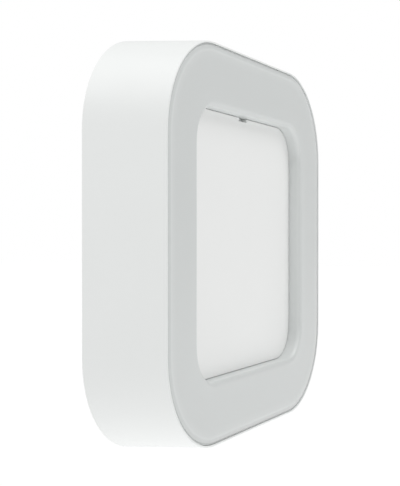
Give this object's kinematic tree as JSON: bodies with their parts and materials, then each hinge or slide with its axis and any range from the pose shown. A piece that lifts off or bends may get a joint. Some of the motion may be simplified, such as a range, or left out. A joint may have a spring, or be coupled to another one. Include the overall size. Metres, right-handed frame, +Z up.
{
  "type": "smart wall light",
  "caption": "Rounded-square smart wall light: tapered white housing, wide opal light ring, and a sunken square centre cover with a lever notch over the wiring and radio board.",
  "frame": {"origin": "centre of the back, in the plane that lies on the wall", "axes": "+Z up, +X to the right of someone facing the light, +Y into the wall, so the front faces -Y"},
  "size_m": [0.2062, 0.0435, 0.2062],
  "materials": {
    "housing_white": "satin moulded white, fine even grain",
    "opal_diffuser": "frosted opal, satin",
    "cover_white": "satin moulded white",
    "rubber_dark": "matt",
    "rubber_light": "matt closed-cell foam",
    "bare_aluminium": "rolled, bare",
    "lamp_board_white": "white solder mask",
    "emitter_phosphor": "clear gel over phosphor",
    "screw_steel": "zinc plated",
    "reflector_white": "white, high reflectance",
    "spring_steel": "tempered strip",
    "case_white": "moulded, slight texture",
    "board_green": "green solder mask",
    "ferrite_dark": "sintered ferrite with tape",
    "capacitor_sleeve": "shrunk sleeve",
    "film_yellow": "dipped box",
    "fuse_body": "moulded",
    "varistor_blue": "dipped ceramic",
    "chip_black": "moulded epoxy",
    "terminal_grey": "moulded polyamide",
    "clamp_brass": "tinned edges",
    "button_orange": "moulded",
    "button_dark": "moulded",
    "shield_can": "tin plated",
    "status_lens": "clear green lens",
    "lead_sleeve": "extruded insulation"
  },
  "bodies": {
    "light": {"housing": "housing_white", "wall_gasket": "rubber_dark", "cable_grommet": "rubber_dark", "lamp_plate": "bare_aluminium", "lamp_board": "lamp_board_white", "lamp_emitters": "emitter_phosphor", "lamp_screws": "screw_steel", "reflector_tray": "reflector_white", "diffuser": "opal_diffuser", "outer_gasket": "rubber_light", "inner_gasket": "rubber_light", "diffuser_screws": "screw_steel", "driver_tray": "case_white", "driver_lid": "case_white", "driver_board": "board_green", "driver_transformer": "ferrite_dark", "driver_capacitors": "capacitor_sleeve", "driver_film_capacitor": "film_yellow", "driver_inductor": "ferrite_dark", "driver_fuse": "fuse_body", "driver_varistor": "varistor_blue", "driver_rectifier": "chip_black", "driver_screws": "screw_steel", "terminal_block": "terminal_grey", "terminal_clamps": "clamp_brass", "radio_board": "board_green", "radio_screws": "screw_steel", "radio_shield": "shield_can", "radio_antenna": "shield_can", "radio_connector": "case_white", "status_light": "status_lens", "pairing_switch": "chip_black", "tone_switch": "chip_black", "supply_leads": "lead_sleeve", "lamp_leads": "lead_sleeve", "radio_leads": "lead_sleeve"},
    "cover": {"centre_cover": "cover_white", "cover_snaps": "spring_steel"},
    "release_line": {"release_button_line": "button_orange"},
    "release_neutral": {"release_button_neutral": "button_orange"},
    "release_loop": {"release_button_loop": "button_orange"},
    "pairing": {"pairing_button": "button_dark"},
    "tone": {"tone_slider": "case_white"}
  },
  "joints": [
    {"name": "cover_pull", "type": "slide", "parent": "light", "child": "cover", "axis": [0, -1, 0], "range_m": [0, 0.06], "deforming": ["cover_snaps"]},
    {"name": "release_line_press", "type": "slide", "parent": "light", "child": "release_line", "axis": [0, 1, 0], "range_m": [0, 0.0015], "stiffness_N_per_m": 1500, "springref_m": -0.001},
    {"name": "release_neutral_press", "type": "slide", "parent": "light", "child": "release_neutral", "axis": [0, 1, 0], "range_m": [0, 0.0015], "stiffness_N_per_m": 1500, "springref_m": -0.001},
    {"name": "release_loop_press", "type": "slide", "parent": "light", "child": "release_loop", "axis": [0, 1, 0], "range_m": [0, 0.0015], "stiffness_N_per_m": 1500, "springref_m": -0.001},
    {"name": "pairing_press", "type": "slide", "parent": "light", "child": "pairing", "axis": [0, 1, 0], "range_m": [0, 0.0005], "stiffness_N_per_m": 2000, "springref_m": -0.0003},
    {"name": "tone_slide", "type": "slide", "parent": "light", "child": "tone", "axis": [1, 0, 0], "range_m": [-0.002, 0.002]}
  ]
}
